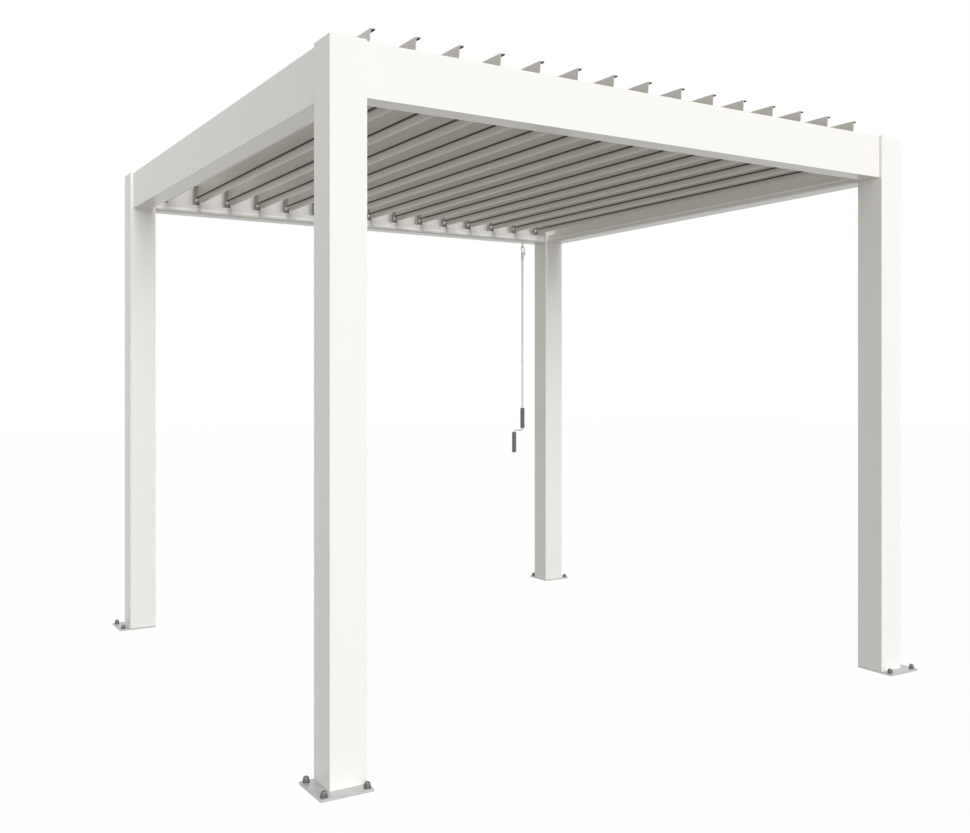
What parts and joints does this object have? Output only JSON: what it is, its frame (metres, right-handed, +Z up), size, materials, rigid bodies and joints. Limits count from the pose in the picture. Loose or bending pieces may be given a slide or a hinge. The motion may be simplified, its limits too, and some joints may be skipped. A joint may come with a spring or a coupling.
{
  "type": "louvred pergola",
  "caption": "White freestanding louvred pergola: square posts on anchored feet, gutter beams, bent-sheet louvres tilted together by a link bar and a hanging hand crank.",
  "frame": {"origin": "centre of the plan on the ground, under the foot plates", "axes": "+Z up, +X along the front beam to the right, +Y from the front beam to the back beam"},
  "size_m": [3.112, 3.112, 2.687],
  "materials": {
    "white_coat": "satin powder coat",
    "foot_plate": "satin",
    "pivot_alloy": "satin",
    "dark_plastic": "matte",
    "steel": "satin",
    "crank_alloy": "satin powder coat",
    "grip_plastic": "matte"
  },
  "bodies": {
    "frame": {"post_front_left": "white_coat", "base_plate_front_left": "foot_plate", "post_front_right": "white_coat", "base_plate_front_right": "foot_plate", "post_back_left": "white_coat", "base_plate_back_left": "foot_plate", "post_back_right": "white_coat", "base_plate_back_right": "foot_plate", "post_caps": "white_coat", "beam_front": "white_coat", "beam_right": "white_coat", "beam_back": "white_coat", "beam_left": "white_coat", "brackets_front": "dark_plastic", "brackets_back": "dark_plastic"},
    "louvre_01": {"louvre_01": "white_coat", "louvre_01_pivots": "pivot_alloy"},
    "louvre_02": {"louvre_02": "white_coat", "louvre_02_pivots": "pivot_alloy"},
    "louvre_03": {"louvre_03": "white_coat", "louvre_03_pivots": "pivot_alloy"},
    "louvre_04": {"louvre_04": "white_coat", "louvre_04_pivots": "pivot_alloy"},
    "louvre_05": {"louvre_05": "white_coat", "louvre_05_pivots": "pivot_alloy"},
    "louvre_06": {"louvre_06": "white_coat", "louvre_06_pivots": "pivot_alloy"},
    "louvre_07": {"louvre_07": "white_coat", "louvre_07_pivots": "pivot_alloy"},
    "louvre_08": {"louvre_08": "white_coat", "louvre_08_pivots": "pivot_alloy"},
    "louvre_09": {"louvre_09": "white_coat", "louvre_09_pivots": "pivot_alloy"},
    "louvre_10": {"louvre_10": "white_coat", "louvre_10_pivots": "pivot_alloy"},
    "louvre_11": {"louvre_11": "white_coat", "louvre_11_pivots": "pivot_alloy"},
    "louvre_12": {"louvre_12": "white_coat", "louvre_12_pivots": "pivot_alloy"},
    "louvre_13": {"louvre_13": "white_coat", "louvre_13_pivots": "pivot_alloy"},
    "louvre_14": {"louvre_14": "white_coat", "louvre_14_pivots": "pivot_alloy"},
    "louvre_15": {"louvre_15": "white_coat", "louvre_15_pivots": "pivot_alloy"},
    "link_bar": {"link_bar": "pivot_alloy"},
    "crank": {"gear_eye": "steel", "crank": "crank_alloy"},
    "grip_upper": {"crank_grip_upper": "grip_plastic"},
    "grip_lower": {"crank_grip_lower": "grip_plastic"}
  },
  "joints": [
    {"name": "louvre_08_tilt", "type": "hinge", "parent": "frame", "child": "louvre_08", "pos_m": [0, 0, 2.599], "axis": [0, -1, 0], "range_deg": [0, 80]},
    {"name": "louvre_01_tilt", "type": "hinge", "parent": "frame", "child": "louvre_01", "pos_m": [-1.2985, 0, 2.599], "axis": [0, -1, 0], "range_deg": [0, 80]},
    {"name": "louvre_02_tilt", "type": "hinge", "parent": "frame", "child": "louvre_02", "pos_m": [-1.113, 0, 2.599], "axis": [0, -1, 0], "range_deg": [0, 80]},
    {"name": "louvre_03_tilt", "type": "hinge", "parent": "frame", "child": "louvre_03", "pos_m": [-0.9275, 0, 2.599], "axis": [0, -1, 0], "range_deg": [0, 80]},
    {"name": "louvre_04_tilt", "type": "hinge", "parent": "frame", "child": "louvre_04", "pos_m": [-0.742, 0, 2.599], "axis": [0, -1, 0], "range_deg": [0, 80]},
    {"name": "louvre_05_tilt", "type": "hinge", "parent": "frame", "child": "louvre_05", "pos_m": [-0.5565, 0, 2.599], "axis": [0, -1, 0], "range_deg": [0, 80]},
    {"name": "louvre_06_tilt", "type": "hinge", "parent": "frame", "child": "louvre_06", "pos_m": [-0.371, 0, 2.599], "axis": [0, -1, 0], "range_deg": [0, 80]},
    {"name": "louvre_07_tilt", "type": "hinge", "parent": "frame", "child": "louvre_07", "pos_m": [-0.1855, 0, 2.599], "axis": [0, -1, 0], "range_deg": [0, 80]},
    {"name": "louvre_09_tilt", "type": "hinge", "parent": "frame", "child": "louvre_09", "pos_m": [0.1855, 0, 2.599], "axis": [0, -1, 0], "range_deg": [0, 80]},
    {"name": "louvre_10_tilt", "type": "hinge", "parent": "frame", "child": "louvre_10", "pos_m": [0.371, 0, 2.599], "axis": [0, -1, 0], "range_deg": [0, 80]},
    {"name": "louvre_11_tilt", "type": "hinge", "parent": "frame", "child": "louvre_11", "pos_m": [0.5565, 0, 2.599], "axis": [0, -1, 0], "range_deg": [0, 80]},
    {"name": "louvre_12_tilt", "type": "hinge", "parent": "frame", "child": "louvre_12", "pos_m": [0.742, 0, 2.599], "axis": [0, -1, 0], "range_deg": [0, 80]},
    {"name": "louvre_13_tilt", "type": "hinge", "parent": "frame", "child": "louvre_13", "pos_m": [0.9275, 0, 2.599], "axis": [0, -1, 0], "range_deg": [0, 80]},
    {"name": "louvre_14_tilt", "type": "hinge", "parent": "frame", "child": "louvre_14", "pos_m": [1.113, 0, 2.599], "axis": [0, -1, 0], "range_deg": [0, 80]},
    {"name": "louvre_15_tilt", "type": "hinge", "parent": "frame", "child": "louvre_15", "pos_m": [1.2985, 0, 2.599], "axis": [0, -1, 0], "range_deg": [0, 80]},
    {"name": "link_bar_swing", "type": "hinge", "parent": "louvre_08", "child": "link_bar", "pos_m": [0, 1.408, 2.639], "axis": [0, -1, 0], "range_deg": [-80, 0]},
    {"name": "crank_turn", "type": "hinge", "parent": "frame", "child": "crank", "pos_m": [1.23, 1.4625, 2.386], "axis": [0, 0, 1], "range_deg": [0, 1600]},
    {"name": "grip_upper_spin", "type": "hinge", "parent": "crank", "child": "grip_upper", "pos_m": [1.23, 1.4625, 1.157], "axis": [0, 0, 1], "continuous": true},
    {"name": "grip_lower_spin", "type": "hinge", "parent": "crank", "child": "grip_lower", "pos_m": [1.16, 1.4625, 0.988], "axis": [0, 0, 1], "continuous": true}
  ],
  "couplings": [
    {"joint": "louvre_01_tilt", "follows": "louvre_08_tilt", "ratio": 1},
    {"joint": "louvre_02_tilt", "follows": "louvre_08_tilt", "ratio": 1},
    {"joint": "louvre_03_tilt", "follows": "louvre_08_tilt", "ratio": 1},
    {"joint": "louvre_04_tilt", "follows": "louvre_08_tilt", "ratio": 1},
    {"joint": "louvre_05_tilt", "follows": "louvre_08_tilt", "ratio": 1},
    {"joint": "louvre_06_tilt", "follows": "louvre_08_tilt", "ratio": 1},
    {"joint": "louvre_07_tilt", "follows": "louvre_08_tilt", "ratio": 1},
    {"joint": "louvre_09_tilt", "follows": "louvre_08_tilt", "ratio": 1},
    {"joint": "louvre_10_tilt", "follows": "louvre_08_tilt", "ratio": 1},
    {"joint": "louvre_11_tilt", "follows": "louvre_08_tilt", "ratio": 1},
    {"joint": "louvre_12_tilt", "follows": "louvre_08_tilt", "ratio": 1},
    {"joint": "louvre_13_tilt", "follows": "louvre_08_tilt", "ratio": 1},
    {"joint": "louvre_14_tilt", "follows": "louvre_08_tilt", "ratio": 1},
    {"joint": "louvre_15_tilt", "follows": "louvre_08_tilt", "ratio": 1},
    {"joint": "link_bar_swing", "follows": "louvre_08_tilt", "ratio": -1},
    {"joint": "crank_turn", "follows": "louvre_08_tilt", "ratio": 20}
  ]
}
